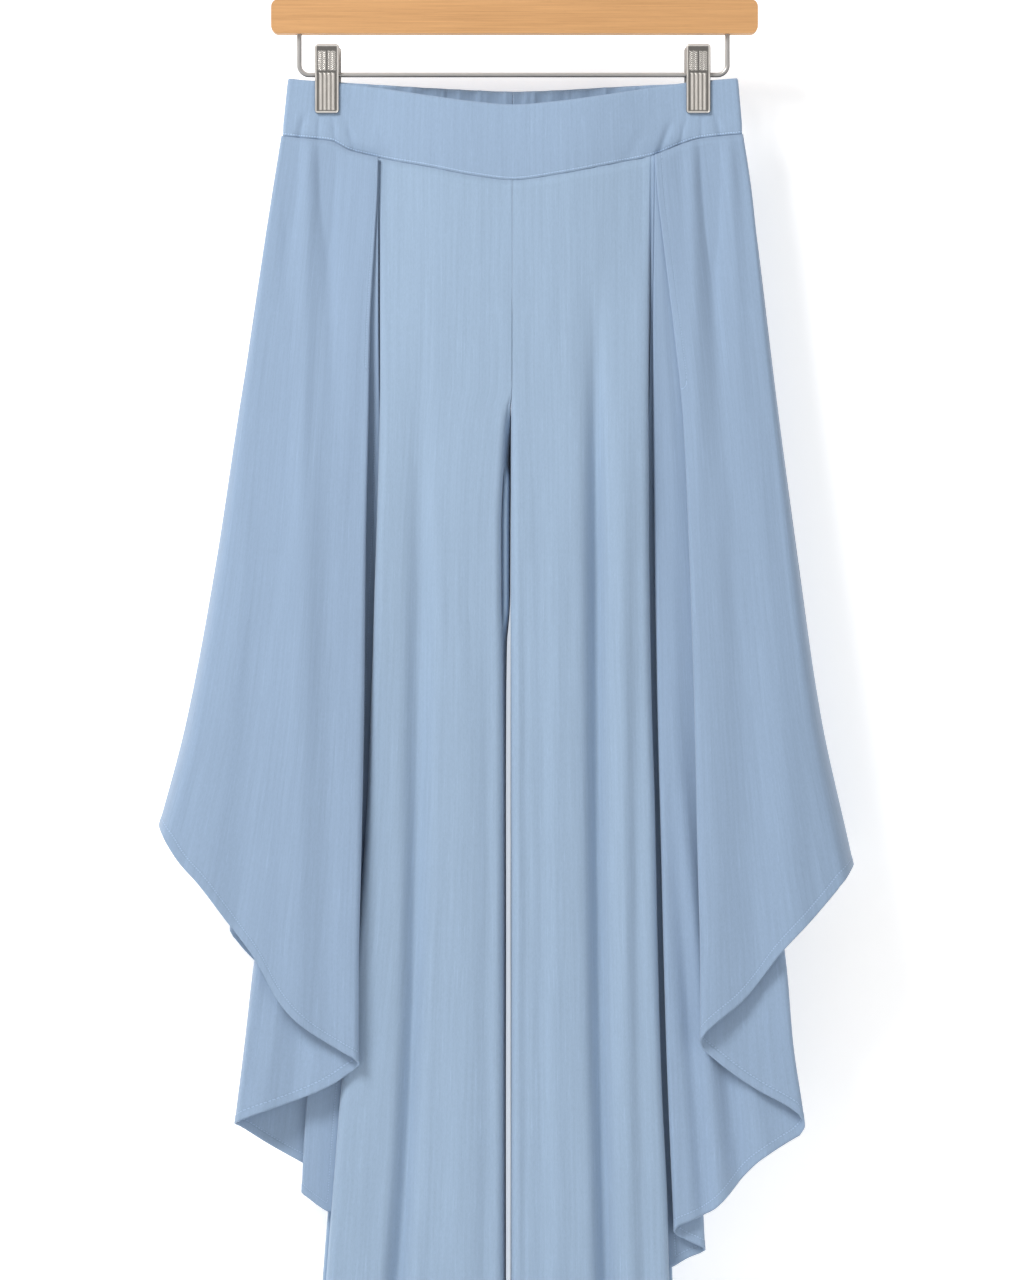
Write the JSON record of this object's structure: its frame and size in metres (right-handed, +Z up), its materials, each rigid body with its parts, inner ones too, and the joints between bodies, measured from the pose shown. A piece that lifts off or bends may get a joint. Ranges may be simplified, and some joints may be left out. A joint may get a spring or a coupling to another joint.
{
  "type": "palazzo pants on clip hanger",
  "caption": "Wide-leg trousers with waterfall side drapes, hung by the waistband from a wooden clip hanger.",
  "frame": {"origin": "inner crown of the hanger's hook, where a rail or wall hook would carry it", "axes": "+Z up along the hanging direction, the garment's front faces -Y, +X to the viewer's right"},
  "size_m": [0.5552, 0.079, 1.184],
  "materials": {
    "cloth": "matte, light vertical slub",
    "waistband_cloth": "matte",
    "beech": "satin, fine lengthwise grain",
    "steel_wire": "polished wire",
    "nickel": "nickel plate"
  },
  "bodies": {
    "root": {"front_leg_left": "cloth", "front_leg_right": "cloth", "back_leg_left": "cloth", "back_leg_right": "cloth", "front_drape_left": "cloth", "front_drape_right": "cloth", "back_drape_left": "cloth", "back_drape_right": "cloth", "waistband_front": "waistband_cloth", "waistband_back_left": "waistband_cloth", "waistband_back_right": "waistband_cloth", "hanger_bar": "beech", "hanger_hook": "steel_wire", "clip_rail": "steel_wire", "clip_left_front_jaw": "nickel", "clip_left_back_jaw": "nickel", "clip_left_sleeve": "nickel", "clip_right_front_jaw": "nickel", "clip_right_back_jaw": "nickel", "clip_right_sleeve": "nickel"}
  },
  "joints": []
}
